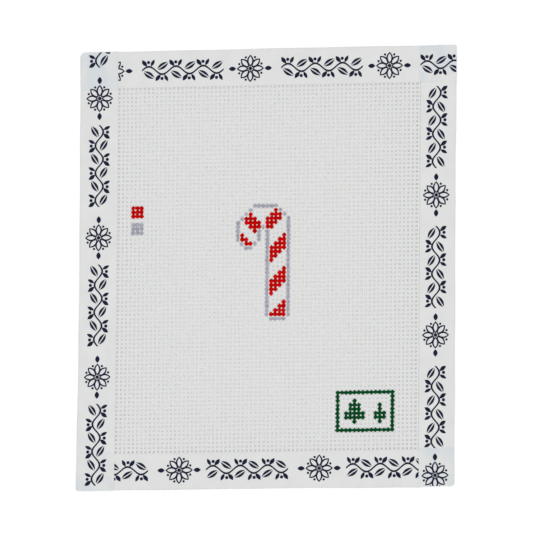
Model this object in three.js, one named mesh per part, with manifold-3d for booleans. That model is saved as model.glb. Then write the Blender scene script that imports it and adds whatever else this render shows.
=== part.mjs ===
// A stitch-painted needlepoint canvas, bound in folded tape: one woven sheet with a striped candy
// cane, two colour patches and a framed pair of fir trees painted on it, and four strips of tape.
// Millimetres, +Z up. The canvas lies flat with its painted side up; +X is to its right and +Y to
// its top. The origin is under the middle of the object's box, on the surface that it lies on.

import * as THREE from "three";
import { mergeVertices } from "three/addons/utils/BufferGeometryUtils.js";
import Module from "manifold-3d";

// ---- Driving dimensions -------------------------------------------------------------------------

const MESH_PER_INCH = 18; // threads to the inch, both ways
const PITCH = 25.4 / MESH_PER_INCH; // from one thread to the next
const SHEET_WIDTH = 90 * PITCH; // over the tape, 5 inches
const SHEET_HEIGHT = 104.8 * PITCH;

const TILT_DEG = { top: 1.2, bottom: 0.85 }; // how far the weft rises to the right
const LEAN_DEG = { left: 0.62, right: 0.3 }; // how far the warp leans to the right

const CANVAS_THICKNESS = 0.66; // two crossed threads
const THREAD_RELIEF = 0.22; // how far the threads stand out of the web between them
const THREAD_WIDTH = 0.7;
const CREST_WIDTH = 0.4; // the flat top of a thread
const CANVAS_INSET = 0.6; // from the fold of the tape to the cut edge of the canvas
const THREAD_OFFSET = { warp: 0.065, weft: 0 }; // of the middle threads, in pitches
const SPACING = { warp: 1.0042 * PITCH, weft: 0.9972 * PITCH }; // of the threads as they lie

const TAPE_WIDTH = 25.4; // 1 inch, folded about in half
const TAPE_THICKNESS = 0.16;
const GLUE = 0.02; // the adhesive between two layers, left open
const LAYER = TAPE_THICKNESS + GLUE;
const FRONT_WIDTH = { bottom: 12.15, right: 12.0, top: 12.25, left: 12.8 };
const FOLD_RADIUS = 0.4; // outside of the fold
const FOLD_STEPS = 3; // to a quarter turn
const CORNER_RADIUS = { topLeft: 1.8, topRight: 0.6, bottomLeft: 0.8, bottomRight: 1.2 };
const CORNER_REACH = 1.8; // the largest corner radius
const CORNER_STEPS = 3;
const STEP_MARGIN = 0.1; // a strip stays up this far past the edge of the strip under it
const STEP_RUN = 0.6; // and comes down over this length

const PAINT_FILM = 0.04;
const OUTLINE_SPREAD = 0.06; // the outline is the second coat, a little wider than its stitches

const CANVAS_BOTTOM = 2 * LAYER; // two layers of tape lie under it at the corners
const CANVAS_TOP = CANVAS_BOTTOM + CANVAS_THICKNESS;

// ---- Materials ----------------------------------------------------------------------------------

const finish = (color, roughness) =>
  new THREE.MeshStandardMaterial({ color, roughness, metalness: 0 });
const cotton = () => finish(0xe0e1e0, 0.95);
const paperTape = () => finish(0xdedfdc, 0.6);
const redPaint = () => finish(0xc80505, 0.55);
const greyPaint = () => finish(0xa2a2b3, 0.6);
const greenPaint = () => finish(0x0c5a2c, 0.55);

// ---- The sheet's own coordinates ----------------------------------------------------------------
// Everything is drawn on a square-cornered sheet, across along the weft and up along the warp,
// and then laid: its corners are rounded and its threads take their slight slant.

const mix = (from, to, share) => from + (to - from) * share;
const slope = (degrees) => Math.tan(THREE.MathUtils.degToRad(degrees));

function rounded(across, up) {
  const side = across < 0 ? "Left" : "Right";
  const radius = CORNER_RADIUS[(up < 0 ? "bottom" : "top") + side];
  const u = 1 - (SHEET_WIDTH / 2 - Math.abs(across)) / radius;
  const v = 1 - (SHEET_HEIGHT / 2 - Math.abs(up)) / radius;
  if (u <= 0 || v <= 0) return [across, up];
  const reachX = SHEET_WIDTH / 2 - radius + radius * u * Math.sqrt(1 - (v * v) / 2);
  const reachY = SHEET_HEIGHT / 2 - radius + radius * v * Math.sqrt(1 - (u * u) / 2);
  return [Math.sign(across) * reachX, Math.sign(up) * reachY];
}

function laid(across, up, z) {
  const [a, b] = rounded(across, up);
  const lean = slope(mix(LEAN_DEG.left, LEAN_DEG.right, a / SHEET_WIDTH + 0.5));
  const tilt = slope(mix(TILT_DEG.bottom, TILT_DEG.top, b / SHEET_HEIGHT + 0.5));
  return [a + b * lean, b + a * tilt, z];
}

function layGeometry(geometry) {
  const position = geometry.getAttribute("position");
  for (let i = 0; i < position.count; i++)
    position.setXYZ(i, ...laid(position.getX(i), position.getY(i), position.getZ(i)));
  geometry.computeVertexNormals();
  return geometry;
}

// ---- Joining and cutting ------------------------------------------------------------------------

const wasm = await Module();
wasm.setup();

function toSolid(geometry) {
  const bare = geometry.clone();
  bare.deleteAttribute("normal");
  bare.deleteAttribute("uv");
  const merged = mergeVertices(bare, 1e-4);
  return new wasm.Manifold(
    new wasm.Mesh({
      numProp: 3,
      vertProperties: merged.getAttribute("position").array,
      triVerts: new Uint32Array(merged.index.array),
    }),
  );
}

function toGeometry(solid) {
  const { vertProperties, triVerts } = solid.getMesh();
  const geometry = new THREE.BufferGeometry();
  geometry.setAttribute("position", new THREE.BufferAttribute(vertProperties, 3));
  geometry.setIndex(new THREE.BufferAttribute(triVerts, 1));
  return geometry;
}

// ---- Canvas -------------------------------------------------------------------------------------
// The weft stands out of the upper face and the warp out of the lower one, and a thin web joins
// them. The two profiles are crossed, so the solid is what both of them hold.

const threadPlace = (direction, number) =>
  (number + THREAD_OFFSET[direction]) * SPACING[direction];

// The middle of each thread between two cut edges.
function threadsAcross(halfSpan, direction) {
  const reach = (halfSpan - CREST_WIDTH / 2) / SPACING[direction];
  const first = Math.ceil(-reach - THREAD_OFFSET[direction]);
  const last = Math.floor(reach - THREAD_OFFSET[direction]);
  return Array.from({ length: last - first + 1 }, (_, i) => threadPlace(direction, first + i));
}

// A slab with a ridge for each thread along its first edge, and a flat face behind it.
function ridgedShape(halfSpan, direction, crest, valley, flat) {
  const shape = new THREE.Shape().moveTo(-halfSpan, flat).lineTo(-halfSpan, valley);
  for (const middle of threadsAcross(halfSpan, direction)) {
    const foot = Math.min(THREAD_WIDTH / 2, halfSpan - Math.abs(middle) - 0.01);
    shape.lineTo(middle - foot, valley).lineTo(middle - CREST_WIDTH / 2, crest);
    shape.lineTo(middle + CREST_WIDTH / 2, crest).lineTo(middle + foot, valley);
  }
  return shape.lineTo(halfSpan, valley).lineTo(halfSpan, flat).closePath();
}

function canvas() {
  const halfWidth = SHEET_WIDTH / 2 - CANVAS_INSET;
  const halfHeight = SHEET_HEIGHT / 2 - CANVAS_INSET;
  const beyond = CANVAS_THICKNESS; // each slab runs this far past the other's ridges
  const upper = ridgedShape(
    halfHeight,
    "weft",
    CANVAS_TOP,
    CANVAS_TOP - THREAD_RELIEF,
    CANVAS_BOTTOM - beyond,
  );
  const lower = ridgedShape(
    halfWidth,
    "warp",
    CANVAS_BOTTOM,
    CANVAS_BOTTOM + THREAD_RELIEF,
    CANVAS_TOP + beyond,
  );
  const weft = new THREE.ExtrudeGeometry(upper, { depth: 2 * halfWidth, bevelEnabled: false });
  weft.rotateX(Math.PI / 2).rotateZ(Math.PI / 2).translate(-halfWidth, 0, 0);
  const warp = new THREE.ExtrudeGeometry(lower, { depth: 2 * halfHeight, bevelEnabled: false });
  warp.rotateX(Math.PI / 2).translate(0, halfHeight, 0);
  return toGeometry(toSolid(weft).intersect(toSolid(warp)));
}

// ---- Tape ---------------------------------------------------------------------------------------
// Each strip is folded over one edge of the canvas. Where it crosses the end of a strip that was
// laid before it, it runs one layer further out on both faces.

// The section of a strip, from the edge on the painted side round the fold to the edge behind.
// Each point has its distance in from the fold, its height, and which way the tape faces there.
function tapeSection(frontWidth, frontLayers, backLayers) {
  const top = CANVAS_TOP + GLUE + frontLayers * LAYER + TAPE_THICKNESS;
  const bottom = CANVAS_BOTTOM - GLUE - backLayers * LAYER - TAPE_THICKNESS;
  const wall = top - bottom - 2 * FOLD_RADIUS;
  const foldLength = Math.PI * FOLD_RADIUS + wall;
  const backWidth = TAPE_WIDTH - foldLength - frontWidth + 2 * FOLD_RADIUS;
  const flap = cornerPlaces(FOLD_RADIUS).slice(1).reverse();
  const points = [frontWidth, ...flap].map((inward) => ({ inward, z: top, facing: [0, 1] }));
  for (const middle of [top - FOLD_RADIUS, bottom + FOLD_RADIUS]) {
    const turned = middle > (top + bottom) / 2 ? 0 : 1;
    for (let i = 0; i <= FOLD_STEPS; i++) {
      const angle = ((turned + i / FOLD_STEPS) * Math.PI) / 2;
      const facing = [-Math.sin(angle), Math.cos(angle)];
      const inward = FOLD_RADIUS * (1 + facing[0]);
      points.push({ inward, z: middle + FOLD_RADIUS * facing[1], facing });
    }
  }
  for (const inward of [...flap.reverse(), backWidth])
    points.push({ inward, z: bottom, facing: [0, -1] });
  return points;
}

// Places near an end of a strip that follow the rounding of a corner, from the end inwards.
function cornerPlaces(end) {
  const places = Array.from(
    { length: CORNER_STEPS },
    (_, i) => (CORNER_REACH * (i + 1)) / CORNER_STEPS,
  );
  return [end, ...places.filter((place) => place > end)];
}

// The layers under a strip at a distance from its end: one where it crosses another strip's flap.
function layersUnder(distance, crossedWidth) {
  if (crossedWidth === 0) return 0;
  const past = (distance - crossedWidth - STEP_MARGIN) / STEP_RUN;
  return 1 - THREE.MathUtils.clamp(past, 0, 1);
}

// The width of a strip's flap behind the canvas, where nothing lies under it.
function backWidthOf(side) {
  const section = tapeSection(FRONT_WIDTH[side], 0, 0);
  return section[section.length - 1].inward;
}

// ends: for the start and the end of the strip, the side of the strip it crosses there, or null
// where its own end is covered by that strip's fold. place turns (along, inward) into the sheet's
// coordinates.
function tapeStrip(side, length, ends, place) {
  const crossed = ends.map((other) =>
    other ? { front: FRONT_WIDTH[other], back: backWidthOf(other) } : { front: 0, back: 0 },
  );
  const stationsAt = ({ front, back }) => {
    const start = cornerPlaces(front ? 0 : FOLD_RADIUS + GLUE);
    if (!front) return start;
    const steps = [front, back].flatMap((w) => [w + STEP_MARGIN, w + STEP_MARGIN + STEP_RUN]);
    return [...start, ...steps].sort((a, b) => a - b);
  };
  const stations = [
    ...stationsAt(crossed[0]),
    ...stationsAt(crossed[1]).reverse().map((distance) => length - distance),
  ];
  const outer = [];
  const inner = [];
  for (const along of stations) {
    const layers = (face) =>
      layersUnder(along, crossed[0][face]) + layersUnder(length - along, crossed[1][face]);
    const section = tapeSection(FRONT_WIDTH[side], layers("front"), layers("back"));
    outer.push(section.map((p) => laid(...place(along, p.inward), p.z)));
    inner.push(
      section.map((p) => {
        const inward = p.inward - TAPE_THICKNESS * p.facing[0];
        return laid(...place(along, inward), p.z - TAPE_THICKNESS * p.facing[1]);
      }),
    );
  }
  return sheetGeometry(outer, inner);
}

// A closed sheet between two grids of points of the same size.
function sheetGeometry(outer, inner) {
  const rows = outer.length;
  const columns = outer[0].length;
  const positions = [...outer.flat(), ...inner.flat()].flat();
  const index = [];
  const at = (face, row, column) => (face * rows + row) * columns + column;
  const quad = (a, b, c, d) => index.push(a, c, b, a, d, c);
  for (let r = 0; r + 1 < rows; r++) {
    for (let c = 0; c + 1 < columns; c++) {
      quad(at(0, r, c), at(0, r + 1, c), at(0, r + 1, c + 1), at(0, r, c + 1));
      quad(at(1, r, c), at(1, r, c + 1), at(1, r + 1, c + 1), at(1, r + 1, c));
    }
    const last = columns - 1;
    quad(at(0, r, 0), at(1, r, 0), at(1, r + 1, 0), at(0, r + 1, 0));
    quad(at(0, r, last), at(0, r + 1, last), at(1, r + 1, last), at(1, r, last));
  }
  for (let c = 0; c + 1 < columns; c++) {
    const last = rows - 1;
    quad(at(0, 0, c), at(0, 0, c + 1), at(1, 0, c + 1), at(1, 0, c));
    quad(at(0, last, c), at(1, last, c), at(1, last, c + 1), at(0, last, c + 1));
  }
  const geometry = new THREE.BufferGeometry();
  geometry.setAttribute("position", new THREE.Float32BufferAttribute(positions, 3));
  geometry.setIndex(index);
  geometry.computeVertexNormals();
  return geometry;
}

// ---- Painted stitches ---------------------------------------------------------------------------
// A stitch is one crossing of two threads, counted from the middle of the sheet: column to the
// right, row up. A figure is a rule that says which stitches it covers.

const HOOK_CENTRE = { column: -1, row: 9 };
const HOOK_RADIUS_SQUARED = 40;
const SHOULDER_CENTRE = { column: 0, row: 10 }; // the hook's right side is a smaller turn
const SHOULDER_RADIUS_SQUARED = 29;
const TAIL = { first: -7, last: -2, row: 8, column: -4.5, radiusSquared: 10 };
const SHAFT = { first: 0, last: 5, foot: -11 };
const STRIPES = 6;
const STRIPE_ROWS = 4;
const SHAFT_STRIPE_REPEAT = 8; // rows from one stripe to the next
const TAIL_STRIPE_REPEAT = 7;

const squaredDistance = (column, row, centre) =>
  (column - centre.column) ** 2 + (row - centre.row) ** 2;

function inHook(column, row) {
  const fromCentre = squaredDistance(column, row, HOOK_CENTRE);
  if (row < HOOK_CENTRE.row || fromCentre < 1) return false;
  if (column <= HOOK_CENTRE.column) return fromCentre <= HOOK_RADIUS_SQUARED;
  return squaredDistance(column, row, SHOULDER_CENTRE) <= SHOULDER_RADIUS_SQUARED;
}

function inTail(column, row) {
  if (column < TAIL.first || column > TAIL.last || row > HOOK_CENTRE.row) return false;
  return row >= TAIL.row || squaredDistance(column, row, TAIL) <= TAIL.radiusSquared;
}

function inShaft(column, row) {
  if (row > HOOK_CENTRE.row || row < SHAFT.foot - 1) return false;
  const inset = row < SHAFT.foot ? 1 : 0; // the last row has its corners taken off
  return column >= SHAFT.first + inset && column <= SHAFT.last - inset;
}

const inCane = (column, row) =>
  inHook(column, row) || inTail(column, row) || inShaft(column, row);

function inOutline(column, row) {
  if (!inCane(column, row)) return false;
  const sides = [[column - 1, row], [column + 1, row], [column, row - 1], [column, row + 1]];
  return sides.some(([c, r]) => !inCane(c, r));
}

// The stripe that a stitch belongs to, counted along the cane from its tail, or 0. Stripes rise to
// the right on the shaft and to the left on the tail, and the hook's middle column stays white.
function stripeAt(column, row) {
  const painted = inCane(column, row) && !inOutline(column, row);
  if (!painted || column === HOOK_CENTRE.column) return 0;
  const onTail = column < HOOK_CENTRE.column;
  const fromMiddle = onTail ? 2 * HOOK_CENTRE.column - column : column;
  const repeat = onTail ? TAIL_STRIPE_REPEAT : SHAFT_STRIPE_REPEAT;
  const climb = fromMiddle - row + STRIPE_ROWS;
  if (THREE.MathUtils.euclideanModulo(climb, repeat) >= STRIPE_ROWS) return 0;
  const turn = Math.floor(climb / repeat);
  return onTail ? 1 - turn : STRIPES - 2 + turn;
}

const inBlock = (column, row, block) =>
  column >= block.left &&
  column < block.left + block.width &&
  row >= block.bottom &&
  row < block.bottom + block.height;
const RED_PATCH = { left: -32, bottom: 13, width: 3, height: 3 };
const GREY_PATCH = { left: -32, bottom: 9, width: 3, height: 3 };
const FRAME = { left: 17, bottom: -39, width: 14, height: 10 };
const FRAME_INSIDE = { left: 18, bottom: -38, width: 12, height: 8 };
// rowWidths run from a tree's trunk to its tip.
const TREES = {
  left: { middle: 21, bottom: -37, rowWidths: [1, 5, 5, 3, 3, 1] },
  right: { middle: 27, bottom: -37, rowWidths: [1, 3, 3, 1, 1] },
};

function inTree(column, row, tree) {
  const width = tree.rowWidths[row - tree.bottom];
  return width !== undefined && Math.abs(column - tree.middle) < width / 2;
}

// A plate over each run of stitches that the rule covers, joined into one film.
function paintFilm(covers, coat, spread) {
  const bottom = CANVAS_TOP + GLUE + coat * (PAINT_FILM + GLUE);
  const reach = Math.ceil(SHEET_HEIGHT / SPACING.weft / 2);
  let film = null;
  for (let row = -reach; row <= reach; row++)
    for (let first = -reach; first <= reach; first++) {
      if (!covers(first, row) || covers(first - 1, row)) continue;
      let last = first;
      while (covers(last + 1, row)) last++;
      const width = (last - first + 1) * SPACING.warp + 2 * spread;
      const plate = new THREE.BoxGeometry(width, SPACING.weft + 2 * spread, PAINT_FILM);
      const across = threadPlace("warp", (first + last) / 2);
      plate.translate(across, threadPlace("weft", row), bottom + PAINT_FILM / 2);
      film = film ? film.add(toSolid(plate)) : toSolid(plate);
    }
  return toGeometry(film);
}

// ---- The object ---------------------------------------------------------------------------------

const root = new THREE.Group();

function addNode(name, geometry, material) {
  const mesh = new THREE.Mesh(geometry, material);
  mesh.name = name;
  root.add(mesh);
}

const addPaint = (name, covers, material, coat = 0, spread = 0) =>
  addNode(name, layGeometry(paintFilm(covers, coat, spread)), material);

addNode("canvas", layGeometry(canvas()), cotton());

// The strips in the order in which they were laid, each with the strip that its two ends cross.
// Every strip runs to the right or up, and lies inward of its own edge.
const halfWidth = SHEET_WIDTH / 2;
const halfHeight = SHEET_HEIGHT / 2;
const strips = {
  bottom: {
    length: SHEET_WIDTH,
    ends: [null, null],
    place: (along, inward) => [along - halfWidth, inward - halfHeight],
  },
  right: {
    length: SHEET_HEIGHT,
    ends: ["bottom", null],
    place: (along, inward) => [halfWidth - inward, along - halfHeight],
  },
  top: {
    length: SHEET_WIDTH,
    ends: ["right", null],
    place: (along, inward) => [halfWidth - along, halfHeight - inward],
  },
  left: {
    length: SHEET_HEIGHT,
    ends: ["top", "bottom"],
    place: (along, inward) => [inward - halfWidth, halfHeight - along],
  },
};
for (const [side, strip] of Object.entries(strips))
  addNode("tape_" + side, tapeStrip(side, strip.length, strip.ends, strip.place), paperTape());

for (let stripe = 1; stripe <= STRIPES; stripe++)
  addPaint("stripe_" + stripe, (column, row) => stripeAt(column, row) === stripe, redPaint());
addPaint("cane_outline", inOutline, greyPaint(), 1, OUTLINE_SPREAD);
addPaint("patch_red", (column, row) => inBlock(column, row, RED_PATCH), redPaint());
addPaint("patch_grey", (column, row) => inBlock(column, row, GREY_PATCH), greyPaint());
addPaint(
  "frame_green",
  (column, row) => inBlock(column, row, FRAME) && !inBlock(column, row, FRAME_INSIDE),
  greenPaint(),
);
for (const [side, tree] of Object.entries(TREES))
  addPaint("tree_" + side, (column, row) => inTree(column, row, tree), greenPaint());

const middle = new THREE.Box3().setFromObject(root).getCenter(new THREE.Vector3());
root.position.set(-middle.x, -middle.y, 0);

export default root;
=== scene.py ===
"""A stitch-painted needlepoint canvas, bound in folded tape and laid flat on a table.

The canvas is woven thread by thread: warp up the sheet, weft across it, each passing over and
under the other. The candy cane and the small figures are painted on the crossings. Four strips
of printed paper tape are folded over the edges. Metres, +Z up, +X to the sheet's right and +Y
to its top.
"""

import math

import bpy
import numpy as np
from bpy.props import FloatProperty, FloatVectorProperty, IntProperty, PointerProperty
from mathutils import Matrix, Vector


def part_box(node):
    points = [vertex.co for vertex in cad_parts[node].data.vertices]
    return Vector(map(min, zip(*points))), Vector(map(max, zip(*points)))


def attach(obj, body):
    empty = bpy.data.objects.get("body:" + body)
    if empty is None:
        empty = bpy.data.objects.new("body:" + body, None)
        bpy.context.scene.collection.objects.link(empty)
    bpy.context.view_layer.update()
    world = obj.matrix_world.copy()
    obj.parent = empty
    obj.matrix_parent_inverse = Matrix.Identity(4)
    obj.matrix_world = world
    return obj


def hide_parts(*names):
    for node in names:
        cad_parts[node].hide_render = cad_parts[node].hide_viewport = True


bl_info = {
    "name": "Needlepoint Canvas",
    "version": (1, 0, 0),
    "blender": (4, 5, 0),
    "location": "3D View > Sidebar > Needlepoint",
    "description": "Weaves, paints and binds a needlepoint canvas with a candy cane",
    "category": "Object",
}

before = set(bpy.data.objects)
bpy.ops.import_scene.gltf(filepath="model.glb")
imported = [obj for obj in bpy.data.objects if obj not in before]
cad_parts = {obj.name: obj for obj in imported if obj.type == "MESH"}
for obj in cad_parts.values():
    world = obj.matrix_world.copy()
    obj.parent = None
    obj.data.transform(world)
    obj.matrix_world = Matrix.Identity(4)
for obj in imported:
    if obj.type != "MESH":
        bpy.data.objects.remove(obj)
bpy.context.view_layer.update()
BODY = "root"
MM = 0.001

# ---- The sheet ----------------------------------------------------------------------------------

INCH = 25.4 * MM
THREADS_WIDE = 90
THREADS_HIGH = 104.8
TILT = {"top": math.radians(1.2), "bottom": math.radians(0.85)}  # the weft rises to the right
LEAN = {"left": math.radians(0.62), "right": math.radians(0.3)}  # the warp leans to the right
CANVAS_INSET = 0.6 * MM  # from the fold of the tape to the cut edge of the canvas
THREAD_OFFSET = {"warp": 0.065, "weft": 0.0}  # of the middle threads, in pitches
SPREAD = {"warp": 1.0042, "weft": 0.9972}  # of the threads, against their count to the inch
CANVAS_THICKNESS = 0.66 * MM
GLUE = 0.02 * MM  # between two layers of tape, or tape and canvas
FRONT_WIDTH = {"bottom": 12.15 * MM, "right": 12.0 * MM, "top": 12.25 * MM, "left": 12.8 * MM}
FOLD_RADIUS = 0.4 * MM
CORNER_RADIUS = {
    ("bottom", "left"): 0.8 * MM,
    ("bottom", "right"): 0.9 * MM,
    ("top", "left"): 1.8 * MM,
    ("top", "right"): 0.6 * MM,
}
DRAWN_IN = {"left": 0.48 * MM, "right": 0.22 * MM}  # in the middle of the side
DRAWN_IN_POWER = 4  # how close to the side this stays
LET_OUT = 0.55 * MM  # of the foot, most where the right strip comes over it
LET_OUT_POWER = 12  # how close to the foot this stays
LET_OUT_FROM = 3 * MM  # across, from the middle
LET_OUT_FULL = -1.8 * MM  # across, from the inner edge of the right strip
LET_OUT_RETURN = (-0.8 * MM, 3.8 * MM)  # from there too
LET_OUT_KEPT = 0.27  # at the corner
RISE = {"left": 0.1 * MM, "right": 0.28 * MM, "bottom": 0.09 * MM}  # of edges not quite flat
RISE_FROM = {"left": 0.55, "right": 0.32, "bottom": 0.5}  # of the way from the middle to the edge
RISE_POWER = 8  # how near the corners the edges come down
PINCH_RUN = 11 * MM  # from the fold to where the tape lies close on the threads
WRINKLE_RUN = 3 * MM
STEP_MARGIN = 0.1 * MM  # a strip stays up this far past the edge of the strip under it
STEP_RUN = 0.9 * MM  # and comes down over this length


def smooth(share):
    """Runs from 0 to 1 with level ends."""
    share = np.clip(share, 0.0, 1.0)
    return share * share * (3.0 - 2.0 * share)


class Sheet:
    """The square-cornered sheet on which all is drawn, across and up from its middle, and the
    way it lies: with rounded corners, slanted threads and a slack middle."""

    def __init__(self, canvas, tape):
        self.pitch = INCH / canvas.mesh_per_inch
        self.width = THREADS_WIDE * self.pitch
        self.height = THREADS_HIGH * self.pitch
        self.layer = tape.thickness + GLUE
        self.canvas_bottom = 2.0 * self.layer
        self.canvas_top = self.canvas_bottom + CANVAS_THICKNESS
        stack = canvas.thread_thickness * (1.0 + FLATTENED)
        self.pinch_depth = (CANVAS_THICKNESS - stack) / 2
        self.sag_depth = canvas.sag_depth
        self.sag_run = canvas.sag_run
        edge = np.array([-0.5, 0.5])
        across, up = np.meshgrid(edge * (self.width - 2 * CANVAS_INSET),
                                 edge * (self.height - 2 * CANVAS_INSET))
        corners = self.slanted(across, up)
        low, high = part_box("canvas")
        self.shift = [(low[i] + high[i] - corners[i].min() - corners[i].max()) / 2 for i in (0, 1)]

    def thread_place(self, direction, number):
        return (number + THREAD_OFFSET[direction]) * self.pitch * SPREAD[direction]

    def slanted(self, across, up):
        """Leans the warp and tilts the weft, each by an angle that changes over the sheet."""
        lean_share = across / self.width + 0.5
        tilt_share = up / self.height + 0.5
        lean = np.tan(LEAN["left"] + (LEAN["right"] - LEAN["left"]) * lean_share)
        tilt = np.tan(TILT["bottom"] + (TILT["top"] - TILT["bottom"]) * tilt_share)
        return across + up * lean, up + across * tilt

    def rounded(self, across, up):
        """Draws the points near each corner in, on to its round."""
        across, up = np.broadcast_arrays(across, up)
        for (end, side), radius in CORNER_RADIUS.items():
            here = ((across < 0) == (side == "left")) & ((up < 0) == (end == "bottom"))
            u = 1.0 - (self.width / 2 - np.abs(across)) / radius
            v = 1.0 - (self.height / 2 - np.abs(up)) / radius
            here &= (u > 0) & (v > 0)
            reach_x = self.width / 2 - radius + radius * u * np.sqrt(np.clip(1 - v * v / 2, 0, 1))
            reach_y = self.height / 2 - radius + radius * v * np.sqrt(np.clip(1 - u * u / 2, 0, 1))
            across, up = (np.where(here, np.sign(across) * reach_x, across),
                          np.where(here, np.sign(up) * reach_y, up))
        return across, up

    def drawn_in(self, across, up):
        """Bows the two long sides in a little, and lets the foot out towards the right strip."""
        near_side = (2 * across / self.width) ** DRAWN_IN_POWER
        near_middle = 1.0 - (2 * up / self.height) ** 2
        depth = np.where(across < 0, -DRAWN_IN["left"], DRAWN_IN["right"])
        strip = self.width / 2 - FRONT_WIDTH["right"]
        near_foot = np.clip(-2 * up / self.height, 0.0, 1.0) ** LET_OUT_POWER
        out = np.clip((across - LET_OUT_FROM) / (strip + LET_OUT_FULL - LET_OUT_FROM), 0.0, 1.0)
        start, end = LET_OUT_RETURN
        out = out * (1.0 - (1.0 - LET_OUT_KEPT) * smooth((across - strip - start) / (end - start)))
        return across - depth * near_side * near_middle, up - LET_OUT * near_foot * out

    def laid(self, across, up, height):
        """The places of points of the sheet, as rows of x, y and z."""
        x, y = self.slanted(*self.drawn_in(*self.rounded(across, up)))
        height = height + self.rise(across, up)
        return np.stack([x + self.shift[0], y + self.shift[1], height], axis=-1)

    def rise(self, across, up):
        """How far the edges stand up off the table between the corners, which lie on it."""
        right, top = 2 * across / self.width, 2 * up / self.height
        ways = {"left": (-right, top), "right": (right, top), "bottom": (-top, right)}
        rises = []
        for side, start in RISE_FROM.items():
            outward, along = ways[side]
            between = np.clip(1.0 - along ** RISE_POWER, 0.0, 1.0)
            rises.append(RISE[side] * smooth((outward - start) / (1.0 - start)) * between)
        return sum(rises)

    def from_edge(self, across, up):
        return np.minimum(self.width / 2 - np.abs(across), self.height / 2 - np.abs(up))

    def pinch(self, across, up):
        """How far the tape, which clears the canvas at the fold, comes in to lie on the threads."""
        return self.pinch_depth * smooth(self.from_edge(across, up) / PINCH_RUN)

    def wrinkle(self, across, up):
        """How far the tape stands off the canvas, away from the fold and from its own edge."""
        inward = self.from_edge(across, up)
        ends = smooth((inward - FOLD_RADIUS) / WRINKLE_RUN) * smooth(
            (PINCH_RUN - inward) / WRINKLE_RUN)
        return WRINKLE * ripples(across, up) * ends

    def sag(self, across, up):
        """How far the open canvas hangs below where the tape holds it."""
        inside = np.minimum.reduce([
            across + self.width / 2 - FRONT_WIDTH["left"],
            self.width / 2 - FRONT_WIDTH["right"] - across,
            up + self.height / 2 - FRONT_WIDTH["bottom"],
            self.height / 2 - FRONT_WIDTH["top"] - up,
        ])
        return self.sag_depth * smooth(inside / self.sag_run)


# ---- Painted stitches ---------------------------------------------------------------------------
# A stitch is one crossing of two threads, counted from the middle of the sheet: column to the
# right, row up.

BARE, WHITE, GREY, RED, GREEN = range(5)  # a later one runs over an earlier one
HOOK_CENTRE = (-1, 9)
HOOK_RADIUS_SQUARED = 40
SHOULDER_CENTRE = (0, 10)  # the hook's right side is a smaller turn
SHOULDER_RADIUS_SQUARED = 29
TAIL_COLUMNS = (-7, -2)
TAIL_ROW = 8
TAIL_CENTRE = (-4.5, TAIL_ROW)
TAIL_RADIUS_SQUARED = 10
SHAFT_COLUMNS = (0, 5)
SHAFT_FOOT = -11
STRIPE_ROWS = 4
SHAFT_STRIPE_REPEAT = 8  # rows from one stripe to the next
TAIL_STRIPE_REPEAT = 7
RED_PATCH = (-32, 13, 3, 3)  # left, bottom, width and height, in stitches
GREY_PATCH = (-32, 9, 3, 3)
FRAME = (17, -39, 14, 10)
FRAME_INSIDE = (18, -38, 12, 8)
TREES = (  # middle column, lowest row, and the width of each row from trunk to tip
    (21, -37, (1, 5, 5, 3, 3, 1)),
    (27, -37, (1, 3, 3, 1, 1)),
)


def squared_distance(column, row, centre):
    return (column - centre[0]) ** 2 + (row - centre[1]) ** 2


def in_hook(column, row):
    from_centre = squared_distance(column, row, HOOK_CENTRE)
    if row < HOOK_CENTRE[1] or from_centre < 1:
        return False
    if column <= HOOK_CENTRE[0]:
        return from_centre <= HOOK_RADIUS_SQUARED
    return squared_distance(column, row, SHOULDER_CENTRE) <= SHOULDER_RADIUS_SQUARED


def in_tail(column, row):
    if not TAIL_COLUMNS[0] <= column <= TAIL_COLUMNS[1] or row > HOOK_CENTRE[1]:
        return False
    return row >= TAIL_ROW or squared_distance(column, row, TAIL_CENTRE) <= TAIL_RADIUS_SQUARED


def in_shaft(column, row):
    if not SHAFT_FOOT - 1 <= row <= HOOK_CENTRE[1]:
        return False
    inset = 1 if row < SHAFT_FOOT else 0  # the last row has its corners taken off
    return SHAFT_COLUMNS[0] + inset <= column <= SHAFT_COLUMNS[1] - inset


def in_cane(column, row):
    return in_hook(column, row) or in_tail(column, row) or in_shaft(column, row)


def in_block(column, row, block):
    left, bottom, width, height = block
    return left <= column < left + width and bottom <= row < bottom + height


def in_tree(column, row, tree):
    middle, bottom, widths = tree
    step = row - bottom
    return 0 <= step < len(widths) and abs(column - middle) < widths[step] / 2


def cane_paint(column, row):
    """Grey round the cane, red on its stripes and white between them. The stripes rise to the
    right on the shaft and to the left on the tail, and the hook's middle column stays white."""
    sides = [(column - 1, row), (column + 1, row), (column, row - 1), (column, row + 1)]
    if not all(in_cane(*side) for side in sides):
        return GREY
    if column == HOOK_CENTRE[0]:
        return WHITE
    on_tail = column < HOOK_CENTRE[0]
    from_middle = 2 * HOOK_CENTRE[0] - column if on_tail else column
    repeat = TAIL_STRIPE_REPEAT if on_tail else SHAFT_STRIPE_REPEAT
    return RED if (from_middle - row + STRIPE_ROWS) % repeat < STRIPE_ROWS else WHITE


def paint_at(column, row):
    if in_cane(column, row):
        return cane_paint(column, row)
    if in_block(column, row, RED_PATCH):
        return RED
    if in_block(column, row, GREY_PATCH):
        return GREY
    if in_block(column, row, FRAME) and not in_block(column, row, FRAME_INSIDE):
        return GREEN
    if any(in_tree(column, row, tree) for tree in TREES):
        return GREEN
    return BARE


# ---- Node trees ---------------------------------------------------------------------------------

FLOAT, COLOUR = "NodeSocketFloat", "NodeSocketColor"


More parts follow.
